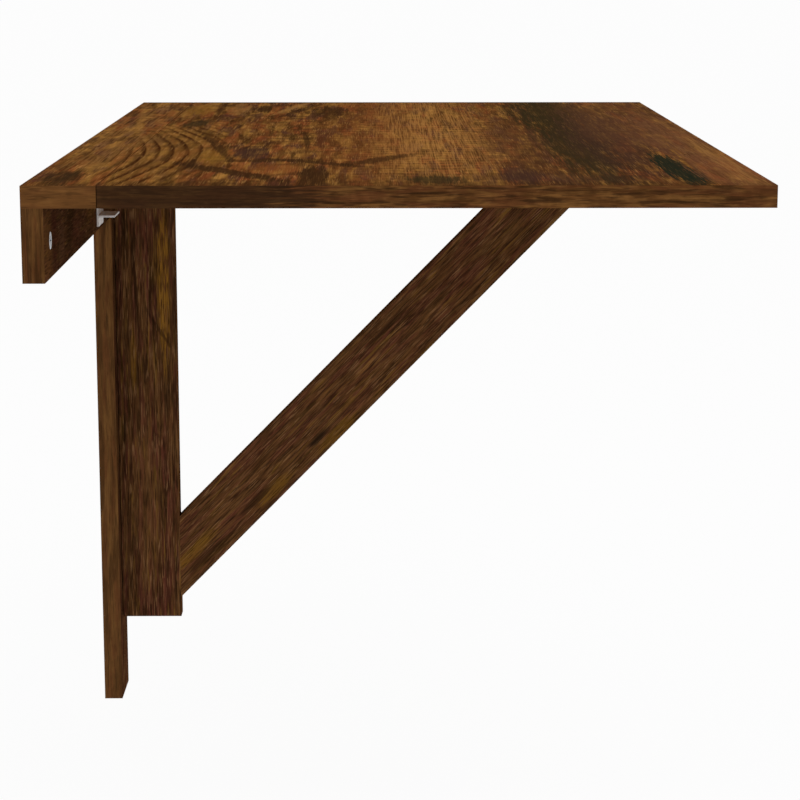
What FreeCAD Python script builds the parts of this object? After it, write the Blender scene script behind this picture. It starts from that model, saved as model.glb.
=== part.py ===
import FreeCAD, Part
import math
import os

# Wall mounted drop leaf table. Millimetres. X points out from the wall, Y along the wall,
# Z up. The origin is the centre of the wall rail's back face, where the rail meets the wall.
# The table stands open: the gate points straight out and carries the leaf.

V = FreeCAD.Vector

# Driving dimensions of the boards
WIDTH = 1000.0            # along the wall
DEPTH = 600.0             # wall to the leaf's outer edge
BOARD = 18.0              # thickness of every board
STRIP = 60.0              # width of the shelf, rail, post, stile and brace
JOINT_GAP = 0.6           # between the fixed shelf and the leaf
POST_LENGTH = 500.0
BAND = 1.0                # thickness of the edge banding

# The gate
GATE_GAP = 0.6            # between the post's face and the stile's edge
GATE_TOP_DROP = 5.0       # leaf's underside down to the top of the gate
GATE_FOOT_RISE = 82.0     # post's foot up to the stile's foot
TOP_RAIL_HEIGHT = 40.0
TOP_RAIL_REACH = 500.0    # wall to the tip of the top rail
BRACE_ANGLE = 45.5        # degrees above level
BRACE_HEEL_RISE = 20.5    # stile's foot up to the brace's heel
PAD_INSET = 32.0          # top rail's tip back to the middle of the rest pad
PAD_SIZE = (30.0, 14.0)   # along and across the top rail
PAD_CLEARANCE = 0.3       # pad's top to the leaf's underside
PAD_ROUND = 2.0           # rounding of the pad's two upper ends

# Butt hinges: length, wing width from the pin, sheet thickness, pin radius, number of knuckles,
# and the screws' places along the pin and their inset from it
KNUCKLE_GAP = 0.3         # between neighbouring knuckles, and round them
PIN_CLEARANCE = 0.05      # radial, in the wing that turns on the pin
LEAF_HINGE = dict(length=38.0, wing=20.0, sheet=1.2, pin=1.0, knuckles=3, screws=(-12.0, 12.0), inset=12.5)
GATE_HINGE = dict(length=50.0, wing=18.0, sheet=1.5, pin=1.5, knuckles=3, screws=(-17.0, 17.0), inset=11.5)
LEAF_HINGE_PLACES = (-390.0, 0.0, 390.0)
GATE_HINGE_DROPS = (120.0, 400.0)  # leaf's underside down to the middle of each hinge

# Countersunk screws, whose heads are as deep as the sheet they hold
SCREW_RADIUS = 1.5
SCREW_LENGTH = 14.0
FASTENER_SIDES = 10       # flat sides that stand for the round of a screw or a fluted dowel

# Keepers on the rail that carry the folded gate's top rail
KEEPER_OFFSET = 130.0     # from the middle of the rail
KEEPER_WIDTH = 38.0
KEEPER_SHEET = 1.8
KEEPER_TOP = 12.0         # plate's top edge, above the rail's centre line
KEEPER_FOOT = -26.0       # plate's lower edge
KEEPER_LEDGE = -15.5      # ledge's upper face
KEEPER_REACH = 17.0       # rail's face to the ledge's edge
KEEPER_SCREW_SPACING = 22.0
KEEPER_SCREW_HEIGHT = 0.0

# Cam locks between the rail and the fixed shelf
CAM_INSET = 38.0          # table's end to the cam's centre
CAM_RADIUS = 7.5
CAM_THICKNESS = 12.5
CAM_CROSS = (9.0, 1.6, 1.8)    # length, width and depth of the cross slot
CAM_CHAMFER = 0.5
CAM_BOLT_SHAFT = 3.0      # radii of the bolt
CAM_BOLT_NECK = 2.0
CAM_BOLT_HEAD = 3.4
CAM_BOLT_THREAD_LENGTH = 10.0
CAM_BOLT_NECK_LENGTH = 2.0
CAM_BOLT_HEAD_LENGTH = 2.5
CAM_BOLT_WAY = 4.0        # radius of its hole in the rail
CAM_BOLT_CLEARANCE = 1.0

# Wooden dowels
DOWEL_RADIUS = 4.0
DOWEL_LENGTH = 30.0
SHELF_DOWEL_OFFSET = 300.0
SHELF_DOWEL_DEPTH = 12.0  # into the shelf
POST_DOWEL_OFFSET = 15.0
STILE_DOWEL_SPACING = 16.0
BRACE_DOWEL_SPACING = 28.0

# Wall screw holes, left empty for the wall's own screws
WALL_HOLE_RADIUS = 2.5
WALL_SINK_RADIUS = 5.0
WALL_SINK_DEPTH = 2.5
RAIL_HOLE_SPACING = 400.0
POST_HOLE_RISE = 40.0     # post's foot up to its hole

# Levels and places that follow from these
RAIL_TOP = STRIP / 2
TABLE_TOP = RAIL_TOP + BOARD
POST_TOP = -STRIP / 2
POST_FOOT = POST_TOP - POST_LENGTH
LEAF_START = STRIP + JOINT_GAP
STILE_INNER = BOARD + GATE_GAP
STILE_OUTER = STILE_INNER + STRIP
GATE_TOP = RAIL_TOP - GATE_TOP_DROP
GATE_FOOT = POST_FOOT + GATE_FOOT_RISE
TOP_RAIL_FOOT = GATE_TOP - TOP_RAIL_HEIGHT
HALF_BOARD = BOARD / 2


def export(name, shape):
    """Write one sub-part, and stop if one of its solids isn't sound."""
    for solid in shape.Solids:
        if not solid.isValid() or solid.Volume <= 0:
            raise ValueError("unsound solid in " + name)
    shape.exportStep("parts/" + name + ".step")


def group(shapes):
    """Several separate solids that share one node."""
    return Part.makeCompound([solid for shape in shapes for solid in shape.Solids])


def block(low, high):
    """Box between two corners."""
    size = [high[i] - low[i] for i in range(3)]
    return Part.makeBox(size[0], size[1], size[2], V(*low))


def seat(board, fittings):
    """Board with a close seat cut for each fitting."""
    return board.cut([solid for fitting in fittings for solid in fitting.Solids])


def revolve(points):
    """Solid turned about Z from a closed outline of (radius, height) points."""
    outline = [V(radius, 0, height) for radius, height in points]
    face = Part.Face(Part.makePolygon(outline + [outline[0]]))
    return face.revolve(V(0, 0, 0), V(0, 0, 1), 360)


def prism(points, low_y, high_y):
    """Upright outline of (x, z) points carried along Y."""
    outline = [V(x, low_y, z) for x, z in points]
    face = Part.Face(Part.makePolygon(outline + [outline[0]]))
    return face.extrude(V(0, high_y - low_y, 0))


def place(shape, origin, x_axis, y_axis):
    """Move a shape so that its own X and Y point along two axes of the table."""
    x_axis = V(*x_axis)
    y_axis = V(*y_axis)
    rotation = FreeCAD.Rotation(x_axis, y_axis, x_axis.cross(y_axis), "XYZ")
    moved = shape.copy()
    moved.Placement = FreeCAD.Placement(V(*origin), rotation).multiply(shape.Placement)
    return moved


def place_along(shape, origin, direction):
    """Move a shape so that its own Z points along a direction."""
    moved = shape.copy()
    rotation = FreeCAD.Rotation(V(0, 0, 1), V(*direction))
    moved.Placement = FreeCAD.Placement(V(*origin), rotation).multiply(shape.Placement)
    return moved


# Boards and their edge bands

def banded_board(low, high, edges):
    """Flat board and the bands on its edges, such as "-x" or "+y".

    A band covers the ends of the bands whose edges are named after it.
    """
    core_low = list(low)
    core_high = list(high)
    bands = []
    for edge in edges:
        axis = "xyz".index(edge[1])
        band_low = list(core_low)
        band_high = list(core_high)
        if edge[0] == "-":
            core_low[axis] += BAND
            band_high[axis] = core_low[axis]
        else:
            core_high[axis] -= BAND
            band_low[axis] = core_high[axis]
        bands.append(block(band_low, band_high))
    return block(core_low, core_high), bands


# Small fittings, each made about its own axis

def sided_rod(sections):
    """Straight rod along Z with many flat sides, through sections of (radius, height)."""
    turns = [2 * math.pi * side / FASTENER_SIDES for side in range(FASTENER_SIDES)]
    rings = [[V(radius * math.cos(turn), radius * math.sin(turn), height) for turn in turns]
             for radius, height in sections]
    outlines = [rings[0], rings[-1]]
    for lower, upper in zip(rings, rings[1:]):
        for side in range(FASTENER_SIDES):
            after = (side + 1) % FASTENER_SIDES
            outlines.append([lower[side], lower[after], upper[after], upper[side]])
    faces = [Part.Face(Part.makePolygon(outline + [outline[0]])) for outline in outlines]
    shell = Part.Shell(faces)
    shell.sewShape()
    rod = Part.Solid(shell)
    if rod.Volume < 0:
        rod.reverse()
    return rod


def screw(sheet):
    """Screw through a sheet, with its countersunk head's face at the origin and its end down -Z."""
    return sided_rod([(SCREW_RADIUS, -SCREW_LENGTH), (SCREW_RADIUS, -sheet), (SCREW_RADIUS + sheet, 0)])


def dowel():
    """Wooden dowel centred on the origin along Z."""
    return sided_rod([(DOWEL_RADIUS, -DOWEL_LENGTH / 2), (DOWEL_RADIUS, DOWEL_LENGTH / 2)])


def cam_bolt(reach):
    """Cam bolt along Z: its thread above the origin, its shaft below, and its head at -reach."""
    head_top = CAM_BOLT_HEAD_LENGTH - reach
    neck_top = head_top + CAM_BOLT_NECK_LENGTH
    return sided_rod([(CAM_BOLT_HEAD, -reach), (CAM_BOLT_HEAD, head_top), (CAM_BOLT_NECK, head_top),
                      (CAM_BOLT_NECK, neck_top), (CAM_BOLT_SHAFT, neck_top),
                      (CAM_BOLT_SHAFT, CAM_BOLT_THREAD_LENGTH)])


def cam_lock():
    """Cam disc with its face at the origin and its thickness down -Z.

    It has a cross slot for the key, and a slot in its side that closes over the bolt's head.
    """
    rim = CAM_RADIUS - CAM_CHAMFER
    disc = revolve([(0, 0), (rim, 0), (CAM_RADIUS, -CAM_CHAMFER), (CAM_RADIUS, -CAM_THICKNESS),
                    (0, -CAM_THICKNESS)])
    length, width, depth = CAM_CROSS
    cross = [Part.makeBox(length, width, depth, V(-length / 2, -width / 2, -depth)),
             Part.makeBox(width, length, depth, V(-width / 2, -length / 2, -depth))]
    head_room = CAM_BOLT_HEAD + CAM_BOLT_CLEARANCE
    mouth = Part.makeBox(2 * head_room, CAM_RADIUS + head_room, 2 * head_room,
                         V(-head_room, -head_room, -HALF_BOARD - head_room))
    return disc.cut(cross + [mouth])


# Butt hinges, made about a pin along Z with both wings' mounting faces touching the knuckle

def knuckle_radius(hinge):
    return hinge["pin"] + hinge["sheet"]


def knuckle_spans(hinge, turning):
    """Low and high end of each knuckle of one wing. The turning wing has the even ones."""
    pitch = hinge["length"] / hinge["knuckles"]
    spans = []
    for index in range(1 if turning else 0, hinge["knuckles"], 2):
        low = index * pitch - hinge["length"] / 2
        first = index == 0
        last = index == hinge["knuckles"] - 1
        low_gap = 0 if first else KNUCKLE_GAP / 2
        high_gap = 0 if last else KNUCKLE_GAP / 2
        spans.append((low + low_gap, low + pitch - high_gap))
    return spans


def hinge_wing(hinge, turning):
    """Wing along +X, its mounting face at y = -knuckle radius, with its own knuckles.

    The sheet is cut back round the other wing's knuckles. The bore fits the pin closely in
    the fixed wing and runs clear of it in the turning one.
    """
    radius = knuckle_radius(hinge)
    half = hinge["length"] / 2
    sheet = hinge["sheet"]
    start = radius + KNUCKLE_GAP
    body = Part.makeBox(hinge["wing"] - start, sheet, hinge["length"], V(start, -radius, -half))
    for low, high in knuckle_spans(hinge, turning):
        tongue = Part.makeBox(start, sheet, high - low, V(0, -radius, low))
        body = body.fuse([tongue, Part.makeCylinder(radius, high - low, V(0, 0, low))])
    bore = hinge["pin"] + (PIN_CLEARANCE if turning else 0)
    body = body.cut(Part.makeCylinder(bore, hinge["length"], V(0, 0, -half)))
    return body.cut(hinge_screws(hinge).Solids).removeSplitter()


def hinge_pin(hinge):
    half = hinge["length"] / 2
    return Part.makeCylinder(hinge["pin"], hinge["length"], V(0, 0, -half))


def hinge_screws(hinge):
    """Screws of one wing, in the wing's own place."""
    face = hinge["sheet"] - knuckle_radius(hinge)
    return group([place_along(screw(hinge["sheet"]), V(hinge["inset"], face, z), (0, 1, 0))
                  for z in hinge["screws"]])


def leaf_hinge_axis(along):
    """Place of a leaf hinge's middle, under the gap between the shelf and the leaf."""
    return (STRIP + JOINT_GAP / 2, along, RAIL_TOP - knuckle_radius(LEAF_HINGE))


def gate_hinge_axis(drop):
    """Place of a gate hinge's middle, in the corner between the post and the stile's far face."""
    radius = knuckle_radius(GATE_HINGE)
    return (BOARD + radius, HALF_BOARD + radius, RAIL_TOP - drop)


SHELF_SIDE = ((-1, 0, 0), (0, 0, -1))
LEAF_SIDE = ((1, 0, 0), (0, 0, -1))
POST_SIDE = ((0, 1, 0), (1, 0, 0))
STILE_SIDE = ((1, 0, 0), (0, 1, 0))


def make_leaf_hinges():
    """Three butt hinges under the table. Returns their screws in the shelf and in the leaf."""
    shelf_screws = []
    leaf_screws = []
    for number, along in enumerate(LEAF_HINGE_PLACES, start=1):
        middle = leaf_hinge_axis(along)
        name = "leaf_hinge_%d_" % number
        export(name + "shelf_wing", place(hinge_wing(LEAF_HINGE, False), middle, *SHELF_SIDE))
        export(name + "leaf_wing", place(hinge_wing(LEAF_HINGE, True), middle, *LEAF_SIDE))
        export(name + "pin", place(hinge_pin(LEAF_HINGE), middle, *LEAF_SIDE))
        shelf_screws.append(place(hinge_screws(LEAF_HINGE), middle, *SHELF_SIDE))
        leaf_screws.append(place(hinge_screws(LEAF_HINGE), middle, *LEAF_SIDE))
    export("leaf_hinge_shelf_screws", group(shelf_screws))
    export("leaf_hinge_leaf_screws", group(leaf_screws))
    return shelf_screws, leaf_screws


def make_gate_hinges():
    """Two butt hinges behind the gate. Returns their screws in the post and in the stile."""
    post_screws = []
    stile_screws = []
    for number, drop in enumerate(GATE_HINGE_DROPS, start=1):
        middle = gate_hinge_axis(drop)
        name = "gate_hinge_%d_" % number
        export(name + "post_wing", place(hinge_wing(GATE_HINGE, False), middle, *POST_SIDE))
        export(name + "stile_wing", place(hinge_wing(GATE_HINGE, True), middle, *STILE_SIDE))
        export(name + "pin", place(hinge_pin(GATE_HINGE), middle, *STILE_SIDE))
        post_screws.append(place(hinge_screws(GATE_HINGE), middle, *POST_SIDE))
        stile_screws.append(place(hinge_screws(GATE_HINGE), middle, *STILE_SIDE))
    export("gate_hinge_post_screws", group(post_screws))
    export("gate_hinge_stile_screws", group(stile_screws))
    return post_screws, stile_screws


# Fittings between the rail, the shelf and the post

def make_cam_locks():
    """Cam and bolt at each end of the rail. Returns the bolts."""
    cams = []
    bolts = []
    for side in (-1, 1):
        along = side * (WIDTH / 2 - CAM_INSET)
        bolt = cam_bolt(RAIL_TOP)
        bolts.append(place_along(bolt, (HALF_BOARD, along, RAIL_TOP), (0, 0, 1)))
        cams.append(place(cam_lock(), (BOARD, along, 0), (0, 1, 0), (0, 0, 1)))
    export("shelf_cam_locks", group(cams))
    export("shelf_cam_bolts", group(bolts))
    return bolts


def cam_pocket(along):
    """Round pocket in the rail for a cam, and the bolt's way down to it."""
    disc = Part.makeCylinder(CAM_RADIUS, CAM_THICKNESS)
    pocket = place_along(disc, (BOARD - CAM_THICKNESS, along, 0), (1, 0, 0))
    way = Part.makeCylinder(CAM_BOLT_WAY, RAIL_TOP, V(HALF_BOARD, along, 0))
    return [pocket, way]


def make_shelf_dowels():
    """Dowels between the rail's top edge and the shelf."""
    middle = RAIL_TOP + SHELF_DOWEL_DEPTH - DOWEL_LENGTH / 2
    dowels = [place_along(dowel(), (HALF_BOARD, side * SHELF_DOWEL_OFFSET, middle), (0, 0, 1))
              for side in (-1, 1)]
    export("shelf_dowels", group(dowels))
    return dowels


def make_post_dowels():
    """Dowels between the rail's lower edge and the post."""
    dowels = [place_along(dowel(), (HALF_BOARD, side * POST_DOWEL_OFFSET, POST_TOP), (0, 0, 1))
              for side in (-1, 1)]
    export("post_dowels", group(dowels))
    return dowels


def keeper(along):
    """T-section keeper: a plate on the rail's face with a ledge standing out of it."""
    ledge_foot = KEEPER_LEDGE - KEEPER_SHEET
    face = BOARD + KEEPER_SHEET
    edge = BOARD + KEEPER_REACH
    section = [(BOARD, KEEPER_TOP), (face, KEEPER_TOP), (face, KEEPER_LEDGE), (edge, KEEPER_LEDGE),
               (edge, ledge_foot), (face, ledge_foot), (face, KEEPER_FOOT), (BOARD, KEEPER_FOOT)]
    return prism(section, along - KEEPER_WIDTH / 2, along + KEEPER_WIDTH / 2)


def keeper_fixings(along):
    """Two screws through a keeper's plate into the rail."""
    face = BOARD + KEEPER_SHEET
    places = [along + side * KEEPER_SCREW_SPACING / 2 for side in (-1, 1)]
    return [place_along(screw(KEEPER_SHEET), (face, y, KEEPER_SCREW_HEIGHT), (1, 0, 0)) for y in places]


def make_keepers():
    """A keeper on each side of the post. Returns their screws in the rail."""
    screws = []
    for name, side in (("near", -1), ("far", 1)):
        along = side * KEEPER_OFFSET
        own_screws = keeper_fixings(along)
        export("keeper_" + name, seat(keeper(along), own_screws))
        screws += own_screws
    export("keeper_screws", group(screws))
    return screws


def wall_hole(along, height):
    """Countersunk hole through the rail or the post, with its mouth on the room side."""
    shank = place_along(Part.makeCylinder(WALL_HOLE_RADIUS, BOARD), (0, along, height), (1, 0, 0))
    cone = Part.makeCone(WALL_HOLE_RADIUS, WALL_SINK_RADIUS, WALL_SINK_DEPTH)
    return shank.fuse(place_along(cone, (BOARD - WALL_SINK_DEPTH, along, height), (1, 0, 0)))


# Boards of the fixed frame

def make_fixed_shelf(screws, cam_bolts, dowels):
    core, bands = banded_board((0, -WIDTH / 2, RAIL_TOP), (STRIP, WIDTH / 2, TABLE_TOP),
                               ("-y", "+y", "-x", "+x"))
    export("fixed_shelf", seat(core, screws + cam_bolts + dowels))
    export("fixed_shelf_edging", group(bands))


def make_wall_rail(dowels, screws):
    core, bands = banded_board((0, -WIDTH / 2, -RAIL_TOP), (BOARD, WIDTH / 2, RAIL_TOP), ("-y", "+y", "-z"))
    pockets = [tool for side in (-1, 1) for tool in cam_pocket(side * (WIDTH / 2 - CAM_INSET))]
    holes = [wall_hole(side * RAIL_HOLE_SPACING / 2, 0) for side in (-1, 1)]
    export("wall_rail", seat(core.cut(pockets + holes), dowels + screws))
    export("wall_rail_edging", group([seat(band, dowels) for band in bands]))


def make_wall_post(screws, dowels):
    core, bands = banded_board((0, -STRIP / 2, POST_FOOT), (BOARD, STRIP / 2, POST_TOP), ("-y", "+y", "-z"))
    hole = wall_hole(0, POST_FOOT + POST_HOLE_RISE)
    export("wall_post", seat(core.cut(hole), screws + dowels))
    export("wall_post_edging", group(bands))


# The leaf

def make_drop_leaf(screws):
    core, bands = banded_board((LEAF_START, -WIDTH / 2, RAIL_TOP), (DEPTH, WIDTH / 2, TABLE_TOP),
                               ("-y", "+y", "-x", "+x"))
    export("drop_leaf", seat(core, screws))
    export("drop_leaf_edging", group(bands))


# The gate

def brace_lines(inset):
    """Corners of the brace's side view, drawn in by an inset on its two long edges."""
    slope = math.tan(math.radians(BRACE_ANGLE))
    upright = 1 / math.cos(math.radians(BRACE_ANGLE))
    heel = GATE_FOOT + BRACE_HEEL_RISE + inset * upright
    throat = GATE_FOOT + BRACE_HEEL_RISE + (STRIP - inset) * upright
    return [(STILE_OUTER, heel), (STILE_OUTER + (TOP_RAIL_FOOT - heel) / slope, TOP_RAIL_FOOT),
            (STILE_OUTER + (TOP_RAIL_FOOT - throat) / slope, TOP_RAIL_FOOT), (STILE_OUTER, throat)]


def brace_parts():
    """Brace's board and the bands on its two long edges, mitred to the stile and the top rail."""
    outer = brace_lines(0)
    inner = brace_lines(BAND)
    core = prism(inner, -HALF_BOARD, HALF_BOARD)
    lower = prism([outer[0], outer[1], inner[1], inner[0]], -HALF_BOARD, HALF_BOARD)
    upper = prism([inner[3], inner[2], outer[2], outer[3]], -HALF_BOARD, HALF_BOARD)
    return core, [lower, upper]


def make_gate_dowels():
    """Dowels from the stile into the top rail and the brace, and from the brace up into the rail."""
    middle = (GATE_TOP + TOP_RAIL_FOOT) / 2
    rail = [place_along(dowel(), (STILE_OUTER, 0, middle + side * STILE_DOWEL_SPACING / 2), (1, 0, 0))
            for side in (-1, 1)]
    corners = brace_lines(0)
    foot = (corners[0][1] + corners[3][1]) / 2
    head = (corners[1][0] + corners[2][0]) / 2
    brace = []
    for side in (-1, 1):
        shift = side * BRACE_DOWEL_SPACING / 2
        brace.append(place_along(dowel(), (STILE_OUTER, 0, foot + shift), (1, 0, 0)))
        brace.append(place_along(dowel(), (head + shift, 0, TOP_RAIL_FOOT), (0, 0, 1)))
    export("gate_top_rail_dowels", group(rail))
    export("gate_brace_dowels", group(brace))
    return rail, brace


def make_gate(screws):
    rail_dowels, brace_dowels = make_gate_dowels()
    dowels = rail_dowels + brace_dowels
    core, bands = banded_board((STILE_INNER, -HALF_BOARD, GATE_FOOT), (STILE_OUTER, HALF_BOARD, GATE_TOP),
                               ("-x", "+x", "-z", "+z"))
    export("gate_stile", seat(core, dowels + screws))
    export("gate_stile_edging", group([seat(band, dowels) for band in bands]))

    low = (STILE_OUTER, -HALF_BOARD, TOP_RAIL_FOOT)
    core, bands = banded_board(low, (TOP_RAIL_REACH, HALF_BOARD, GATE_TOP), ("-z", "+z", "+x"))
    export("gate_top_rail", seat(core, dowels))
    export("gate_top_rail_edging", group([seat(band, dowels) for band in bands]))

    core, bands = brace_parts()
    export("gate_brace", seat(core, brace_dowels))
    export("gate_brace_edging", group([seat(band, brace_dowels) for band in bands]))


def make_rest_pad():
    """Plastic pad near the gate's tip that the leaf lies on, with its two upper ends rounded."""
    length, width = PAD_SIZE
    middle = TOP_RAIL_REACH - PAD_INSET
    top = RAIL_TOP - PAD_CLEARANCE
    low = middle - length / 2
    high = middle + length / 2
    straight = top - PAD_ROUND
    bend = PAD_ROUND * (1 - math.sqrt(0.5))
    outline = [Part.LineSegment(V(low, 0, GATE_TOP), V(high, 0, GATE_TOP)),
               Part.LineSegment(V(high, 0, GATE_TOP), V(high, 0, straight)),
               Part.Arc(V(high, 0, straight), V(high - bend, 0, top - bend), V(high - PAD_ROUND, 0, top)),
               Part.LineSegment(V(high - PAD_ROUND, 0, top), V(low + PAD_ROUND, 0, top)),
               Part.Arc(V(low + PAD_ROUND, 0, top), V(low + bend, 0, top - bend), V(low, 0, straight)),
               Part.LineSegment(V(low, 0, straight), V(low, 0, GATE_TOP))]
    face = Part.Face(Part.Wire([edge.toShape() for edge in outline]))
    face.translate(V(0, -width / 2, 0))
    export("gate_rest_pad", face.extrude(V(0, width, 0)))


def main():
    os.makedirs("parts", exist_ok=True)
    shelf_screws, leaf_screws = make_leaf_hinges()
    post_screws, stile_screws = make_gate_hinges()
    cam_bolts = make_cam_locks()
    shelf_dowels = make_shelf_dowels()
    post_dowels = make_post_dowels()
    keeper_screws = make_keepers()
    make_fixed_shelf(shelf_screws, cam_bolts, shelf_dowels)
    make_wall_rail(shelf_dowels + post_dowels, keeper_screws)
    make_wall_post(post_screws, post_dowels)
    make_drop_leaf(leaf_screws)
    make_gate(stile_screws)
    make_rest_pad()


main()
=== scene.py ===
import logging
import math
from dataclasses import dataclass
from enum import Enum
from typing import Callable, Sequence

import bmesh
import bpy
import numpy as np
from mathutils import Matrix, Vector


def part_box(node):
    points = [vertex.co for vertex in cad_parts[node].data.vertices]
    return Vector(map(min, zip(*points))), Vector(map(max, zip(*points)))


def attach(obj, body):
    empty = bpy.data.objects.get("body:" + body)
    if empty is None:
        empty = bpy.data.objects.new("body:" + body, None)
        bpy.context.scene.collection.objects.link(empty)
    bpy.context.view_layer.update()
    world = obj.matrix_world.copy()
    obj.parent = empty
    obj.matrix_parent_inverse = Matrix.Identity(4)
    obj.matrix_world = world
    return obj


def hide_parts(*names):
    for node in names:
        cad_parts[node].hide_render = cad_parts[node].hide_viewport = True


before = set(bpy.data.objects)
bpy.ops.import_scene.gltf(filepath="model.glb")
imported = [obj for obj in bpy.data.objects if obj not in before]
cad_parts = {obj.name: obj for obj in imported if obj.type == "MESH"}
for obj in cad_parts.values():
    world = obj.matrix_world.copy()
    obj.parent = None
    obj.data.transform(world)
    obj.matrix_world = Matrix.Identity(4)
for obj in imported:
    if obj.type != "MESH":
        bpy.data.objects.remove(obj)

# Looks of the wall mounted drop leaf table. Metres. X points out from the wall, Y along the
# wall, Z up. The boards and fittings come from the frame; this file gives them their finishes,
# makes the screws in full, and sets up the floor, the light and the camera.

logging.basicConfig(level=logging.INFO, format="%(levelname)s: %(message)s")
log = logging.getLogger("wall_table")

MM = 0.001
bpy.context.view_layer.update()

Rgb = tuple[float, float, float]
Point = tuple[float, float, float]
Socket = bpy.types.NodeSocket
Source = Socket | float | Sequence[float]
Sockets = dict[str, Socket]
Sources = dict[str, Source]


def paint(red: float, green: float, blue: float) -> Rgb:
    """Turn a paint chip into the linear colour that a shader takes.

    Each channel is divided by 255, and the standard display curve is undone.

    Args:
        red: Red of the chip, 0 to 255.
        green: Green of the chip, 0 to 255.
        blue: Blue of the chip, 0 to 255.

    Returns:
        Linear red, green and blue.
    """
    chip = np.array([red, green, blue]) / 255.0
    linear = np.where(chip <= 0.04045, chip / 12.92, ((chip + 0.055) / 1.055) ** 2.4)
    return tuple(float(value) for value in linear)


class Wiring:
    """Short way to place and join the nodes of one node tree."""

    SPACING = 190
    FIRST_COLOUR, SECOND_COLOUR, MIXED_COLOUR = 6, 7, 2  # the mix node's colour sockets

    def __init__(self, tree: bpy.types.NodeTree) -> None:
        """Start on a node tree.

        Args:
            tree: The tree that the nodes go into.
        """
        self.tree = tree

    def add(self, kind: str, **settings: object) -> bpy.types.Node:
        """Add a node and set its plain properties.

        Args:
            kind: Blender's name for the node type.
            **settings: Properties of the node by name.

        Returns:
            The new node.
        """
        node = self.tree.nodes.new(kind)
        node.location = (self.SPACING * len(self.tree.nodes), 0)
        for name, value in settings.items():
            setattr(node, name, value)
        return node

    def feed(self, socket: Socket, source: Source) -> None:
        """Join a socket to another one, or set its own value.

        Args:
            socket: The socket that takes the value.
            source: An output socket, a number or a list of numbers.
        """
        if isinstance(source, Socket):
            self.tree.links.new(source, socket)
        elif socket.type == "RGBA" and len(source) == 3:
            socket.default_value = (*source, 1.0)
        else:
            socket.default_value = source

    def fed(self, kind: str, *sources: Source, **settings: object) -> bpy.types.Node:
        """Add a node and feed its first inputs in order.

        Args:
            kind: Blender's name for the node type.
            *sources: What goes into them.
            **settings: Properties of the node by name.

        Returns:
            The new node.
        """
        node = self.add(kind, **settings)
        for socket, source in zip(node.inputs, sources):
            self.feed(socket, source)
        return node

    def math(self, operation: str, *values: Source) -> Socket:
        """Return the result of Blender's operation of that name on up to three values."""
        return self.fed("ShaderNodeMath", *values, operation=operation).outputs[0]

    def times(self, first: Source, second: Source) -> Socket:
        """Return the product of two values."""
        return self.math("MULTIPLY", first, second)

    def plus(self, first: Source, second: Source) -> Socket:
        """Return the sum of two values."""
        return self.math("ADD", first, second)

    def minus(self, first: Source, second: Source) -> Socket:
        """Return the first value less the second."""
        return self.math("SUBTRACT", first, second)

    def vector(self, operation: str, *vectors: Source) -> Socket:
        """Return the vector that Blender's operation of that name makes of one or two vectors."""
        return self.fed("ShaderNodeVectorMath", *vectors, operation=operation).outputs["Vector"]

    def scaled(self, vector: Source, factor: Source) -> Socket:
        """Return a vector times a plain value.

        Args:
            vector: The vector.
            factor: The value.

        Returns:
            The longer or shorter vector.
        """
        node = self.fed("ShaderNodeVectorMath", vector, operation="SCALE")
        self.feed(node.inputs["Scale"], factor)
        return node.outputs["Vector"]

    def dot(self, first: Source, second: Source) -> Socket:
        """Return the dot product of two vectors."""
        return self.fed("ShaderNodeVectorMath", first, second, operation="DOT_PRODUCT").outputs["Value"]

    def length(self, vector: Source) -> Socket:
        """Return the length of a vector."""
        return self.fed("ShaderNodeVectorMath", vector, operation="LENGTH").outputs["Value"]

    def split(self, vector: Source) -> list[Socket]:
        """Return the three parts of a vector."""
        return list(self.fed("ShaderNodeSeparateXYZ", vector).outputs)

    def join(self, *parts: Source) -> Socket:
        """Return the vector made of three parts."""
        return self.fed("ShaderNodeCombineXYZ", *parts).outputs[0]

    def blend(self, share: Source, first: Source, second: Source) -> Socket:
        """Mix two colours.

        Args:
            share: How much of the second, 0 to 1.
            first: The first colour.
            second: The second colour.

        Returns:
            The mixed colour.
        """
        node = self.add("ShaderNodeMix", data_type="RGBA")
        self.feed(node.inputs["Factor"], share)
        self.feed(node.inputs[self.FIRST_COLOUR], first)
        self.feed(node.inputs[self.SECOND_COLOUR], second)
        return node.outputs[self.MIXED_COLOUR]

    def span(self, value: Source, low: Source, high: Source, to_low: Source = 0.0,
             to_high: Source = 1.0, smooth: bool = True) -> Socket:
        """Carry a value from one span to another and hold it at the ends.

        Args:
            value: The value.
            low: Value that becomes to_low.
            high: Value that becomes to_high.
            to_low: Result at the low end.
            to_high: Result at the high end.
            smooth: Whether the way between is an S curve and not a straight line.

        Returns:
            The carried value.
        """
        way = "SMOOTHSTEP" if smooth else "LINEAR"
        node = self.fed("ShaderNodeMapRange", value, low, high, to_low, to_high, interpolation_type=way)
        return node.outputs[0]

    def noise(self, vector: Source, seed: Source, detail: Source = 3.0, colour: bool = False) -> Socket:
        """Cloudy noise about one unit in size.

        Args:
            vector: Where the noise is read.
            seed: A number of its own for each independent pattern.
            detail: How many finer layers are added.
            colour: Whether three independent noises are wanted and not one.

        Returns:
            The noise, mostly between 0.25 and 0.75.
        """
        node = self.add("ShaderNodeTexNoise", noise_dimensions="4D")
        for name, source in (("Vector", vector), ("W", seed), ("Scale", 1.0), ("Detail", detail)):
            self.feed(node.inputs[name], source)
        return node.outputs["Color" if colour else "Fac"]

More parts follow.
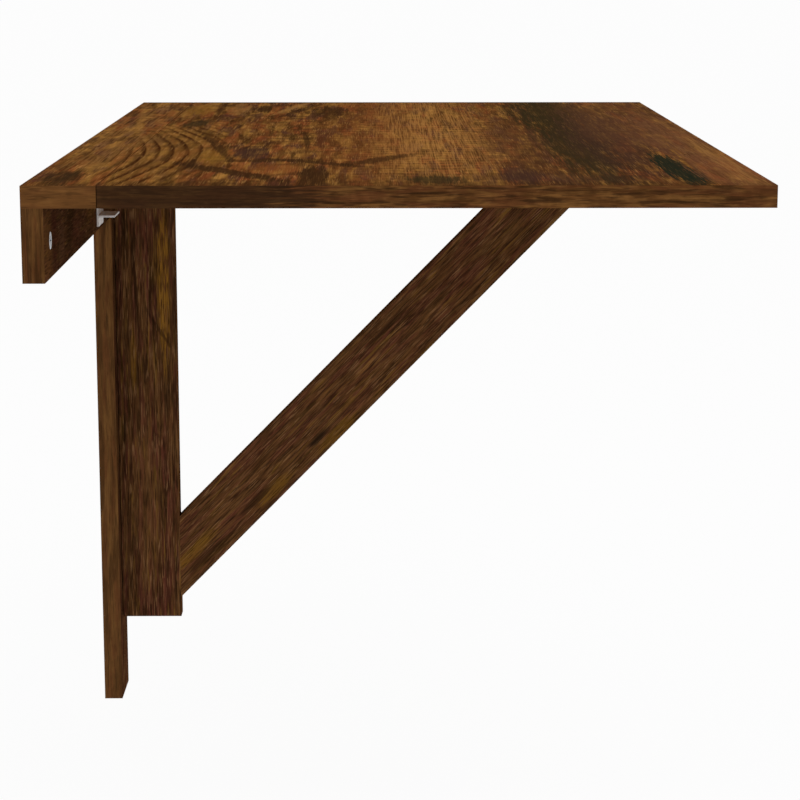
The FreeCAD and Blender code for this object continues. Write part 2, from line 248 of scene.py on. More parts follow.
    def effect(self, effect: "Effect", **values: Source) -> Sockets:
        """Place a shared effect and give it its own values.

        Args:
            effect: Which one.
            **values: Its inputs by name.

        Returns:
            Its outputs by name.
        """
        node = self.add("ShaderNodeGroup", node_tree=effect_tree(effect))
        for name, value in values.items():
            self.feed(node.inputs[name], value)
        return {socket.name: socket for socket in node.outputs}


# Shared effects

class Effect(Enum):
    """The shader effects that more than one finish uses."""

    PLANK = "plank lie"
    BAND = "band lie"
    GRAIN = "marks along the grain"
    RINGS = "growth rings"
    PATCH = "placed patch"
    WANDER = "wandering grain"
    CURL = "curled grain"
    BRUSHING = "brushing"


def plank_lie(wiring: Wiring, given: Sockets) -> Sources:
    """Turn a place on the table into a place on the plank: across, along and through it."""
    parts = [wiring.dot(given["position"], given[name]) for name in ("across", "along", "face")]
    return {"plank": wiring.join(*parts)}


def band_lie(wiring: Wiring, given: Sockets) -> Sources:
    """Turn a place on an edge band into across, along and through it.

    The band runs round the board, so its length lies along the cross product of its own
    outward normal and the normal of the board's face.

    Args:
        wiring: Where the nodes go.
        given: The place, the surface's normal and the normal of the board's face.

    Returns:
        The place on the band.
    """
    along = wiring.vector("CROSS_PRODUCT", given["normal"], given["face"])
    parts = [wiring.dot(given["position"], way) for way in (given["face"], along, given["normal"])]
    return {"plank": wiring.join(*parts)}


def grain_marks(wiring: Wiring, given: Sockets) -> Sources:
    """Marks drawn out along the plank, where stretched noise is high.

    The share moves the level above which they show, and the softness is the noise's way from
    nothing to a full mark, so that the same effect makes broad clouds and sharp strokes.

    Args:
        wiring: Where the nodes go.
        given: The place on the plank, and the marks' width, length, share, softness, detail and seed.

    Returns:
        The mask, which is 1 on a mark.
    """
    none, full = 0.65, 0.35  # levels at which no mark shows, and marks take the whole surface
    size = wiring.join(given["width"], given["length"], given["width"])
    noise = wiring.noise(wiring.vector("DIVIDE", given["plank"], size), given["seed"], given["detail"])
    level = wiring.math("MULTIPLY_ADD", given["share"], full - none, none)
    low, high = wiring.minus(level, given["softness"]), wiring.plus(level, given["softness"])
    return {"mask": wiring.span(noise, low, high)}


def growth_rings(wiring: Wiring, given: Sockets) -> Sources:
    """Dark late wood lines of a board sawn along the log.

    The distance across the plank is counted in rings, after slow long noise and the log's bow,
    which grows with the square of the distance from its crown, have pushed it sideways. Each
    ring darkens slowly and clears quickly, which gives the line its sharp outer side, and
    finer noise makes it stronger at some places than at others.

    Args:
        wiring: Where the nodes go.
        given: The place on the plank, and the rings' spacing, sway, bow, crown and seed.

    Returns:
        The line, which is 1 in the middle of the late wood.
    """
    slow_scale, fine_scale = (8.0, 2.2, 8.0), (60.0, 6.0, 60.0)
    darkens, dark, clears = 0.35, 0.82, 0.85  # shares of the way from one ring to the next
    across, along = wiring.split(given["plank"])[:2]
    slow = wiring.noise(wiring.vector("MULTIPLY", given["plank"], slow_scale), given["seed"], 1.0)
    push = wiring.times(wiring.minus(slow, 0.5), given["sway"])
    reach = wiring.minus(along, given["crown"])
    bend = wiring.times(wiring.times(reach, reach), given["bow"])
    distance = wiring.plus(wiring.plus(across, push), bend)
    phase = wiring.math("FRACT", wiring.math("DIVIDE", distance, given["spacing"]))
    rise = wiring.span(phase, darkens, dark)
    fall = wiring.span(phase, clears, 1.0, 1.0, 0.0)
    fine = wiring.noise(wiring.vector("MULTIPLY", given["plank"], fine_scale), given["seed"])
    uneven = wiring.span(fine, 0.32, 0.56, 0.5, 1.0)
    return {"line": wiring.times(wiring.times(rise, fall), uneven)}


def placed_patch(wiring: Wiring, given: Sockets) -> Sources:
    """Oval patch at a set place, which may lean across the grain as it runs along it.

    The distance is 1 on the oval's outline, plus a ragged value that moves the outline in and
    out. The edge is the part of it over which it fades.

    Args:
        wiring: Where the nodes go.
        given: The place on the plank, and the oval's centre, half sizes, lean, edge and ragged value.

    Returns:
        The mask, which is 1 inside.
    """
    across, along = wiring.split(wiring.vector("SUBTRACT", given["plank"], given["centre"]))[:2]
    upright = wiring.minus(across, wiring.times(along, given["lean"]))
    place = wiring.vector("DIVIDE", wiring.join(upright, along, 0.0), given["half"])
    distance = wiring.plus(wiring.length(place), given["ragged"])
    inner, outer = wiring.minus(1.0, given["edge"]), wiring.plus(1.0, given["edge"])
    return {"mask": wiring.span(distance, inner, outer, 1.0, 0.0)}


def wandering_grain(wiring: Wiring, given: Sockets) -> Sources:
    """Plank whose grain wanders: each place is moved a little by slow noise.

    Args:
        wiring: Where the nodes go.
        given: The place on the plank, how far it moves sideways and lengthways, and the seed.

    Returns:
        The moved place.
    """
    scale = (22.0, 4.0, 22.0)
    noise = wiring.noise(wiring.vector("MULTIPLY", given["plank"], scale), given["seed"], 1.0, colour=True)
    centred = wiring.vector("SUBTRACT", noise, (0.5, 0.5, 0.5))
    reach = wiring.join(given["sideways"], given["lengthways"], 0.0)
    return {"plank": wiring.vector("ADD", given["plank"], wiring.vector("MULTIPLY", centred, reach))}


def curled_grain(wiring: Wiring, given: Sockets) -> Sources:
    """Fine waves across the grain: a sine of the distance along it, pushed on by noise.

    Args:
        wiring: Where the nodes go.
        given: The place on the plank, and the waves' spacing, sway and seed.

    Returns:
        The wave's value, 0 to 1.
    """
    scale = (40.0, 9.0, 40.0)
    slow = wiring.noise(wiring.vector("MULTIPLY", given["plank"], scale), given["seed"], 2.0)
    along = wiring.split(given["plank"])[1]
    pushed = wiring.math("MULTIPLY_ADD", slow, given["sway"], along)
    phase = wiring.times(wiring.math("DIVIDE", pushed, given["spacing"]), 2 * math.pi)
    return {"value": wiring.math("MULTIPLY_ADD", wiring.math("SINE", phase), 0.5, 0.5)}


def brushing(wiring: Wiring, given: Sockets) -> Sources:
    """Fine lines of a drawn or brushed metal, and the broad smudges of handling.

    The place is shrunk along the lines before the noise is read, which draws the noise out.

    Args:
        wiring: Where the nodes go.
        given: The place, the direction of the lines and the seed.

    Returns:
        The lines' value and the smudges.
    """
    shrink, line_scale, smudge_scale = -0.97, 6000.0, 180.0
    along = wiring.times(wiring.dot(given["position"], given["direction"]), shrink)
    place = wiring.vector("ADD", given["position"], wiring.scaled(given["direction"], along))
    smudge = wiring.noise(wiring.scaled(given["position"], smudge_scale), given["seed"], 3.0)
    return {"value": wiring.noise(wiring.scaled(place, line_scale), given["seed"], 2.0),
            "smudge": wiring.span(smudge, 0.3, 0.7)}


@dataclass(frozen=True)
class Recipe:
    """How a shared effect is made.

    Attributes:
        make: Function that places its nodes.
        inputs: Names of its inputs, with a space between.
        output: Name of its output, or of both with a space between.
    """

    make: Callable[[Wiring, Sockets], Sources]
    inputs: str
    output: str


VECTORS = ("position", "across", "along", "face", "normal", "plank", "centre", "half", "direction")
RECIPES = {
    Effect.PLANK: Recipe(plank_lie, "position across along face", "plank"),
    Effect.BAND: Recipe(band_lie, "position normal face", "plank"),
    Effect.GRAIN: Recipe(grain_marks, "plank width length share softness detail seed", "mask"),
    Effect.RINGS: Recipe(growth_rings, "plank spacing sway bow crown seed", "line"),
    Effect.PATCH: Recipe(placed_patch, "plank centre half lean edge ragged", "mask"),
    Effect.WANDER: Recipe(wandering_grain, "plank sideways lengthways seed", "plank"),
    Effect.CURL: Recipe(curled_grain, "plank spacing sway seed", "value"),
    Effect.BRUSHING: Recipe(brushing, "position direction seed", "value smudge"),
}


def effect_tree(effect: Effect) -> bpy.types.NodeTree:
    """Node group of an effect, built the first time it is asked for.

    Args:
        effect: Which one.

    Returns:
        Its node group.
    """
    if effect.value in bpy.data.node_groups:
        return bpy.data.node_groups[effect.value]
    tree = bpy.data.node_groups.new(effect.value, "ShaderNodeTree")
    recipe = RECIPES[effect]
    inputs, outputs = recipe.inputs.split(), recipe.output.split()
    for way, names in (("INPUT", inputs), ("OUTPUT", outputs)):
        for name in names:
            kind = "NodeSocketVector" if name in VECTORS else "NodeSocketFloat"
            tree.interface.new_socket(name=name, in_out=way, socket_type=kind)
    wiring = Wiring(tree)
    entry = wiring.add("NodeGroupInput")
    made = recipe.make(wiring, {name: entry.outputs[name] for name in inputs})
    leave = wiring.add("NodeGroupOutput")
    for name in outputs:
        wiring.feed(leave.inputs[name], made[name])
    return tree


# Finishes

BRACE_ANGLE = math.radians(45.5)


class Lie(Enum):
    """How a board lies: the directions across it, along its grain and out of its face."""

    FLAT = ((1, 0, 0), (0, 1, 0), (0, 0, 1))
    RAIL = ((0, 0, 1), (0, 1, 0), (1, 0, 0))
    POST = ((0, 1, 0), (0, 0, 1), (1, 0, 0))
    STILE = ((1, 0, 0), (0, 0, 1), (0, 1, 0))
    ARM = ((0, 0, 1), (1, 0, 0), (0, 1, 0))
    BRACE = ((-math.sin(BRACE_ANGLE), 0, math.cos(BRACE_ANGLE)),
             (math.cos(BRACE_ANGLE), 0, math.sin(BRACE_ANGLE)), (0, 1, 0))

    @property
    def across(self) -> Point:
        """Direction across the board."""
        return self.value[0]

    @property
    def along(self) -> Point:
        """Direction of the grain."""
        return self.value[1]

    @property
    def face(self) -> Point:
        """Direction out of the board's broad face."""
        return self.value[2]


@dataclass(frozen=True)
class Mark:
    """A patch of another colour at a set place on a board.

    Attributes:
        centre: Its middle, across and along the board, in metres.
        half: Half of its width and half of its length, in metres.
        colour: Its colour.
        strength: How far it covers the wood, 0 to 1.
        lean: How far it moves across for each metre along.
        edge: Share of its size over which it fades.
        broken: How far it is broken up into strokes along the grain, 0 to 1.
    """

    centre: tuple[float, float]
    half: tuple[float, float]
    colour: Rgb
    strength: float
    lean: float = 0.0
    edge: float = 0.35
    broken: float = 0.0


@dataclass(frozen=True)
class Layer:
    """One layer of the figure: marks of a size along the grain, and how much they show.

    Attributes:
        width: Size across the grain, in millimetres.
        length: Size along the grain, in millimetres.
        strength: How much it shows, 0 to 1.
        share: Share of the surface that it takes, 0 to 1.
        softness: How softly it begins, 0.03 for a sharp stroke to 0.2 for a cloud.
        detail: How many finer layers ruffle it.
    """

    width: float
    length: float
    strength: float
    share: float = 0.5
    softness: float = 0.2
    detail: float = 3.0


@dataclass(frozen=True)
class Rings:
    """The late wood lines of a board.

    Attributes:
        spacing: From one line to the next, in millimetres.
        sway: How far noise pushes them sideways, in millimetres.
        strength: How much they show in their zone, 0 to 1.
        elsewhere: How much they show outside it, 0 to 1.
        bow: How far the log bows, in millimetres at half a metre from its crown.
        crown: Place of the bow's crown along the board, in metres.
        zone: Where they show and the tint of the wood there, or None for the whole board.
    """

    spacing: float
    sway: float
    strength: float
    elsewhere: float = 1.0
    bow: float = 0.0
    crown: float = 0.0
    zone: Mark | None = None


@dataclass(frozen=True)
class Paintwork:
    """What a print gives to a shader.

    Attributes:
        colour: Colour of the surface.
        roughness: Roughness of the surface.
        height: Height of the pores and fibres, in units of the bump's depth.
    """

    colour: Socket
    roughness: Socket
    height: Socket


class Surfacing(Wiring):
    """Wiring of a new material, with the place on the piece at hand.

    Attributes:
        position: Place on the piece.
        normal: Way out of the piece's surface.
    """

    def __init__(self, title: str) -> None:
        """Start a new material.

        Args:
            title: Its name.
        """
        self.material = bpy.data.materials.new(title)
        self.material.use_nodes = True
        super().__init__(self.material.node_tree)
        place = self.add("ShaderNodeTexCoord")
        self.position, self.normal = place.outputs["Object"], place.outputs["Normal"]

    def finish(self, height: Source, strength: float, depth: float, **values: Source) -> bpy.types.Material:
        """Join what a finish has worked out to the material's shader.

        Args:
            height: Height of the fine relief, in units of its depth.
            strength: How much the relief shows, 0 to 1.
            depth: Depth of the relief.
            **values: The shader's other inputs by name, with _ for a space.

        Returns:
            The material.
        """
        bump = self.add("ShaderNodeBump")
        for name, source in (("Height", height), ("Strength", strength), ("Distance", depth)):
            self.feed(bump.inputs[name], source)
        shader = self.tree.nodes["Principled BSDF"]
        for name, source in (*values.items(), ("Normal", bump.outputs["Normal"])):
            self.feed(shader.inputs[name.replace("_", " ")], source)
        return self.material


@dataclass(frozen=True)
class OakPrint:
    """Smoked oak laminate, printed with the figure of one wide board.

    Attributes:
        title: Name of the finish.
        body: Main brown.
        tints: Other browns that come and go, each with its layer.
        deep: Brown of the late wood lines.
        gold: Colour of the flecks.
        shadow: Colour of the pores.
        rings: Late wood lines.
        tones: Layers that lighten and darken whatever colour is there: streaks, fibres and mottle.
        fleck: Golden flecks.
        pore: Dark pores.
        thread: Strokes that break up a mark.
        wander: How far the whole figure wanders sideways and lengthways, in millimetres.
        curl: Fine waves across the grain, with their spacing as the length, in the curl zone.
        curl_zone: Where the waves show.
        roughness: Roughness of the clear wood.
    """

    title: str
    body: Rgb
    tints: tuple[tuple[Rgb, Layer], ...]
    deep: Rgb
    gold: Rgb
    shadow: Rgb
    rings: Rings
    tones: tuple[Layer, Layer, Layer]
    fleck: Layer
    pore: Layer
    thread: Layer = Layer(1.6, 60, 1.0, 0.5, 0.06, 1.0)
    wander: tuple[float, float] = (8.0, 10.0)
    curl: Layer | None = None
    curl_zone: Mark | None = None
    roughness: float = 0.6

    RAGGED = 0.4          # how far the streaks move a mark's outline in and out
    FEW_FLECKS = 0.2      # share of the flecks that are left between their clusters
    COVERED_FLECKS = 0.25  # share of the flecks that show through a mark
    DULL = 0.15           # added to the roughness where the fibres are raised
    FIBRE = 0.4           # height of the fibres beside the depth of the pores
    RELIEF, RELIEF_DEPTH = 0.25, 0.15 * MM

    def paintwork(self, wiring: Wiring, plank: Socket, seed: float,
                  marks: Sequence[Mark] = ()) -> Paintwork:
        """Lay the layers of the figure over each other, each with its own noise.

        Args:
            wiring: Where the nodes go.
            plank: Place on the plank: across, along and through it.
            seed: A number of its own, so that no two boards have the same figure.
            marks: Patches at set places.

        Returns:
            The finished paintwork.
        """
        sideways, lengthways = (value * MM for value in self.wander)
        moved = wiring.effect(Effect.WANDER, plank=plank, sideways=sideways, lengthways=lengthways,
                              seed=seed)["plank"]
        colour: Source = self.body
        for number, (tint, layer) in enumerate(self.tints, start=10):
            mask = self._grain(wiring, moved, layer, seed + number)
            colour = wiring.blend(wiring.times(mask, layer.strength), colour, tint)
        colour = self._late_wood(wiring, moved, colour, seed + 1)
        masks = [self._grain(wiring, moved, layer, seed + number)
                 for number, layer in enumerate(self.tones, start=20)]
        streaks, fibres, mottle = masks
        for mask, layer in zip(masks, self.tones):
            tone = wiring.span(mask, 0.0, 1.0, 1 - layer.strength, 1 + layer.strength, smooth=False)
            colour = wiring.scaled(colour, tone)
        if self.curl and self.curl_zone:
            colour = wiring.scaled(colour, self._curl(wiring, moved, seed + 2))
        ragged = wiring.times(wiring.minus(wiring.plus(streaks, fibres), 1.0), self.RAGGED)
        thread = self._grain(wiring, plank, self.thread, seed + 3) if marks else None
        bare: Source = 1.0
        for mark in marks:
            mask = wiring.times(self._patch(wiring, moved, mark, ragged), mark.strength)
            if mark.broken:
                mask = wiring.times(mask, wiring.span(thread, 0.0, 1.0, 1 - mark.broken, 1.0))
            colour = wiring.blend(mask, colour, mark.colour)
            bare = wiring.times(bare, wiring.minus(1.0, mask))
        clustered = wiring.span(mottle, 0.0, 1.0, self.FEW_FLECKS, 1.0)
        spread = wiring.times(clustered, wiring.span(bare, 0.0, 1.0, self.COVERED_FLECKS, 1.0))
        fleck = wiring.times(self._grain(wiring, plank, self.fleck, seed + 4), spread)
        pore = self._grain(wiring, plank, self.pore, seed + 5)
        colour = wiring.blend(wiring.times(fleck, self.fleck.strength), colour, self.gold)
        colour = wiring.blend(wiring.times(pore, self.pore.strength), colour, self.shadow)
        roughness = wiring.span(fibres, 0.0, 1.0, self.roughness, self.roughness + self.DULL)
        return Paintwork(colour, roughness, wiring.minus(wiring.times(fibres, self.FIBRE), pore))

    @staticmethod
    def _grain(wiring: Wiring, plank: Socket, layer: Layer, seed: float) -> Socket:
        """Place the marks of one layer.

        Args:
            wiring: Where the nodes go.
            plank: Place on the plank.
            layer: The layer.
            seed: A number of its own.

        Returns:
            The mask of its marks.
        """
        return wiring.effect(Effect.GRAIN, plank=plank, width=layer.width * MM, length=layer.length * MM,
                             share=layer.share, softness=layer.softness, detail=layer.detail,
                             seed=seed)["mask"]

    @staticmethod
    def _patch(wiring: Wiring, plank: Socket, mark: Mark, ragged: Source) -> Socket:
        """Return the mask of a mark, whose outline a ragged value moves in and out."""
        return wiring.effect(Effect.PATCH, plank=plank, centre=(*mark.centre, 0.0),
                             half=(*mark.half, 1.0), lean=mark.lean, edge=mark.edge, ragged=ragged)["mask"]

    def _late_wood(self, wiring: Wiring, plank: Socket, colour: Source, seed: float) -> Socket:
        """Lay the late wood lines over a colour, after their zone has taken its own tint.

        Args:
            wiring: Where the nodes go.
            plank: Place on the plank.
            colour: What they are laid over.
            seed: A number of its own.

        Returns:
            The colour with the lines.
        """
        rings = self.rings
        half_metre = 0.5
        line = wiring.effect(Effect.RINGS, plank=plank, spacing=rings.spacing * MM, sway=rings.sway * MM,
                             bow=rings.bow * MM / half_metre ** 2, crown=rings.crown, seed=seed)["line"]
        strength: Source = rings.strength
        if rings.zone:
            zone = self._patch(wiring, plank, rings.zone, 0.0)
            colour = wiring.blend(wiring.times(zone, rings.zone.strength), colour, rings.zone.colour)
            strength = wiring.span(zone, 0.0, 1.0, rings.elsewhere, rings.strength)
        return wiring.blend(wiring.times(line, strength), colour, self.deep)

    def _curl(self, wiring: Wiring, plank: Socket, seed: float) -> Socket:
        """Work out the fine waves across the grain.

        Args:
            wiring: Where the nodes go.
            plank: Place on the plank.
            seed: A number of its own.

        Returns:
            A factor for the colour, which is 1 outside the waves' zone.
        """
        wave = wiring.effect(Effect.CURL, plank=plank, spacing=self.curl.length * MM,
                             sway=self.curl.width * MM, seed=seed)["value"]
        depth = wiring.times(self._patch(wiring, plank, self.curl_zone, 0.0), 2 * self.curl.strength)
        return wiring.math("MULTIPLY_ADD", wiring.minus(wave, 0.5), depth, 1.0)

    @staticmethod
    def _plank(surfacing: Surfacing, lie: Lie) -> Socket:
        """Return the place on a board that lies so."""
        return surfacing.effect(Effect.PLANK, position=surfacing.position, across=lie.across,
                                along=lie.along, face=lie.face)["plank"]

    def _finish(self, surfacing: Surfacing, colour: Source, paintwork: Paintwork) -> bpy.types.Material:
        """Join a colour and the rest of the paintwork to the shader."""
        return surfacing.finish(paintwork.height, self.RELIEF, self.RELIEF_DEPTH, Base_Color=colour,
                                Roughness=paintwork.roughness, Specular_IOR_Level=0.0)

    def board(self, name: str, lie: Lie, seed: float, marks: Sequence[Mark] = ()) -> bpy.types.Material:
        """Build the material of one board.

        Args:
            name: Name of the board.
            lie: How the board lies.
            seed: A number of its own, so that no two boards have the same figure.
            marks: Patches at set places.

        Returns:
            The material.
        """
        surfacing = Surfacing(f"{self.title} on {name}")
        paintwork = self.paintwork(surfacing, self._plank(surfacing, lie), seed, marks)
        return self._finish(surfacing, paintwork.colour, paintwork)

    def edging(self, board: "Board") -> bpy.types.Material:
        """Build the material of the bands round one board.

        The bands' thin edges, which lie flush in the board's faces, carry on the board's figure.

        Args:
            board: The board.

        Returns:
            The material.
        """
        surfacing = Surfacing(f"{self.title} on {board.name} edging")
        face = board.lie.face
        band = surfacing.effect(Effect.BAND, position=surfacing.position, normal=surfacing.normal,
                                face=face)["plank"]
        plank = self._plank(surfacing, board.lie)
        own = self.paintwork(surfacing, band, board.band_seed, board.band_marks)
        carried = board.oak.paintwork(surfacing, plank, board.seed, board.marks)
        towards = surfacing.math("ABSOLUTE", surfacing.dot(surfacing.normal, face))
        flush = surfacing.math("GREATER_THAN", towards, 0.5)
        return self._finish(surfacing, surfacing.blend(flush, own.colour, carried.colour), own)


@dataclass(frozen=True)
class PlatedMetal:
    """Thin bright plating or drawn metal, with fine lines and the smudges of handling.

    Attributes:
        title: Name of the finish.
        colour: Colour of the clean metal.
        worn: Colour where it has been handled.
        direction: Direction of the fine lines.
        roughness: Roughness of the clean metal.
        metallic: How far it mirrors like bare metal, 0 for a blasted or anodised matt face.
        smudging: How much rougher it is where it has been handled.
    """

    title: str
    colour: Rgb
    worn: Rgb
    direction: Point
    roughness: float
    metallic: float = 1.0
    smudging: float = 0.12

    RELIEF, RELIEF_DEPTH = 0.15, 0.02 * MM

    def material(self, seed: float = 0.0) -> bpy.types.Material:
        """Build the material.

        Args:
            seed: A number of its own for each independent pattern.

        Returns:
            The material.
        """
        surfacing = Surfacing(self.title)
        lines = surfacing.effect(Effect.BRUSHING, position=surfacing.position, direction=self.direction,
                                 seed=seed)
        smudge = lines["smudge"]
        rough = surfacing.math("MULTIPLY_ADD", smudge, self.smudging, self.roughness)
        return surfacing.finish(lines["value"], self.RELIEF, self.RELIEF_DEPTH,
                                Base_Color=surfacing.blend(smudge, self.colour, self.worn),
                                Metallic=self.metallic, Roughness=rough)


@dataclass(frozen=True)
class MouldedPlastic:
    """Matt moulded plastic with a fine spark texture.

    Attributes:
        title: Name of the finish.
        colour: Its colour.
        roughness: Its roughness.
    """

    title: str
    colour: Rgb
    roughness: float

    GRAIN_SCALE = 2500.0  # grains to a metre
    PALER = 1.6           # how much lighter the raised grains are
    RELIEF, RELIEF_DEPTH = 0.4, 0.05 * MM

    def material(self) -> bpy.types.Material:
        """Build the material.

        Returns:
            The material.
        """
        surfacing = Surfacing(self.title)
        grit = surfacing.noise(surfacing.scaled(surfacing.position, self.GRAIN_SCALE), 0.0)
        paler = tuple(value * self.PALER for value in self.colour)
        return surfacing.finish(grit, self.RELIEF, self.RELIEF_DEPTH, Roughness=self.roughness,
                                Base_Color=surfacing.blend(grit, self.colour, paler))


# The finishes of this table

HONEY = paint(148, 104, 56)
AMBER = paint(120, 84, 28)
AMBER_HONEY = paint(134, 94, 36)
RUSSET = paint(114, 71, 46)
SMOKE_BROWN = paint(54, 34, 18)
SMOKE_PLUM = paint(62, 40, 32)
SMOKE_GREEN = paint(50, 41, 24)
KNOT_GREEN = paint(29, 36, 26)

TOP_OAK = OakPrint(
    "smoked oak top", body=paint(102, 64, 30),
    tints=((paint(142, 99, 46), Layer(13, 130, 0.9, 0.5, 0.08, 4)),
           (paint(118, 60, 32), Layer(18, 150, 0.7, 0.42, 0.08, 4)),
           (paint(72, 44, 34), Layer(13, 110, 0.75, 0.3, 0.05, 4)),
           (paint(56, 35, 16), Layer(10, 80, 0.7, 0.28, 0.05, 4)),
           (paint(74, 46, 23), Layer(40, 28, 0.6, 0.35, 0.05, 4))),
    deep=paint(60, 32, 12), gold=paint(176, 128, 72), shadow=paint(54, 32, 15),
    rings=Rings(12.7, 16, 1.0, 0.2, 112, -0.27,
                Mark((0.0905, -0.22), (0.042, 0.34), paint(124, 86, 38), 0.4, edge=0.5)),
    tones=(Layer(3.5, 120, 0.18), Layer(0.9, 30, 0.1), Layer(5, 60, 0.15)),
    fleck=Layer(0.8, 45, 0.5, 0.2, 0.03, 1), pore=Layer(0.8, 30, 0.25, 0.18, 0.03, 1),
    thread=Layer(1.4, 110, 1.0, 0.45, 0.15, 3), wander=(12, 26),
    curl=Layer(30, 24, 0.28), curl_zone=Mark((0.330, 0.10), (0.09, 0.60), HONEY, 1.0, edge=0.5))
TOP_BAND_OAK = OakPrint(
    "smoked oak top edging", body=paint(88, 56, 28),
    tints=((paint(110, 74, 38), Layer(5, 30, 0.9, 0.45, 0.06)),
           (paint(84, 48, 27), Layer(9, 40, 0.7, 0.4, 0.08)),
           (paint(56, 35, 18), Layer(4, 36, 0.8, 0.3, 0.05))),
    deep=paint(52, 32, 16), gold=paint(122, 86, 50), shadow=paint(42, 26, 14),
    rings=Rings(8, 20, 0.3), tones=(Layer(2, 60, 0.14), Layer(0.9, 18, 0.12), Layer(10, 9, 0.12)),
    fleck=Layer(1, 14, 0.3, 0.15, 0.04, 1), pore=Layer(0.9, 14, 0.4, 0.2, 0.04, 1))
FRAME_OAK = OakPrint(
    "dark smoked oak", body=paint(82, 52, 29),
    tints=((paint(104, 71, 40), Layer(6, 60, 0.75, 0.42, 0.08, 4)),
           (paint(86, 44, 35), Layer(7, 60, 0.7, 0.48, 0.08, 4)),
           (paint(116, 84, 34), Layer(3.5, 50, 0.6, 0.16, 0.04, 4)),
           (paint(48, 30, 16), Layer(4, 40, 0.75, 0.3, 0.05, 5))),
    deep=paint(46, 27, 13), gold=paint(142, 104, 70), shadow=paint(38, 22, 10),
    rings=Rings(9, 45, 0.5), tones=(Layer(1.9, 60, 0.24), Layer(0.8, 16, 0.14), Layer(8, 40, 0.1)),
    fleck=Layer(0.9, 20, 0.65, 0.22, 0.03, 1), pore=Layer(0.9, 24, 0.65, 0.24, 0.03, 1),
    thread=Layer(1, 18, 1.0, 0.5, 0.06, 1))
FRAME_BAND_OAK = OakPrint(
    "dark smoked oak edging", body=paint(90, 59, 32),
    tints=((paint(114, 78, 42), Layer(4, 60, 0.85, 0.45, 0.07)),
           (paint(88, 48, 28), Layer(6, 50, 0.7, 0.4, 0.08)),
           (paint(54, 34, 18), Layer(3.5, 50, 0.75, 0.3, 0.05))),
    deep=paint(58, 35, 18), gold=paint(120, 86, 52), shadow=paint(46, 28, 15),
    rings=Rings(9, 26, 0.2), tones=(Layer(2, 70, 0.12), Layer(0.9, 24, 0.1), Layer(10, 14, 0.1)),
    fleck=Layer(1, 16, 0.25, 0.12, 0.04, 1), pore=Layer(0.9, 12, 0.35, 0.16, 0.04, 1))
BEECH = OakPrint(
    "turned beech", body=paint(214, 178, 132),
    tints=((paint(226, 194, 150), Layer(3, 20, 0.5)), (paint(208, 164, 122), Layer(3, 16, 0.4))),
    deep=paint(182, 140, 96), gold=paint(232, 204, 164), shadow=paint(150, 108, 70),
    rings=Rings(2, 4, 0.2), tones=(Layer(0.8, 12, 0.08), Layer(0.3, 4, 0.06), Layer(2, 3, 0.04)),
    fleck=Layer(0.4, 3, 0.4, 0.2, 0.04, 1), pore=Layer(0.3, 2, 0.4, 0.25, 0.04, 1), wander=(0.5, 1.0))
HINGE_ZINC = PlatedMetal("zinc plated hinge", paint(206, 206, 202), paint(176, 176, 172), (0, 1, 0), 0.32)
SCREW_ZINC = PlatedMetal("zinc plated screw", paint(212, 212, 206), paint(184, 184, 178), (0, 0, 1), 0.28)
KEEPER_ALUMINIUM = PlatedMetal("satin anodised aluminium", paint(240, 236, 232), paint(224, 221, 219),
                               (0, 1, 0), 0.35, metallic=0.1)
CAM_NICKEL = PlatedMetal("nickel plated die casting", paint(208, 209, 212), paint(176, 177, 180),
                         (0, 1, 0), 0.3)
PAD_PLASTIC = MouldedPlastic("dark moulded plastic", paint(34, 29, 26), 0.5)


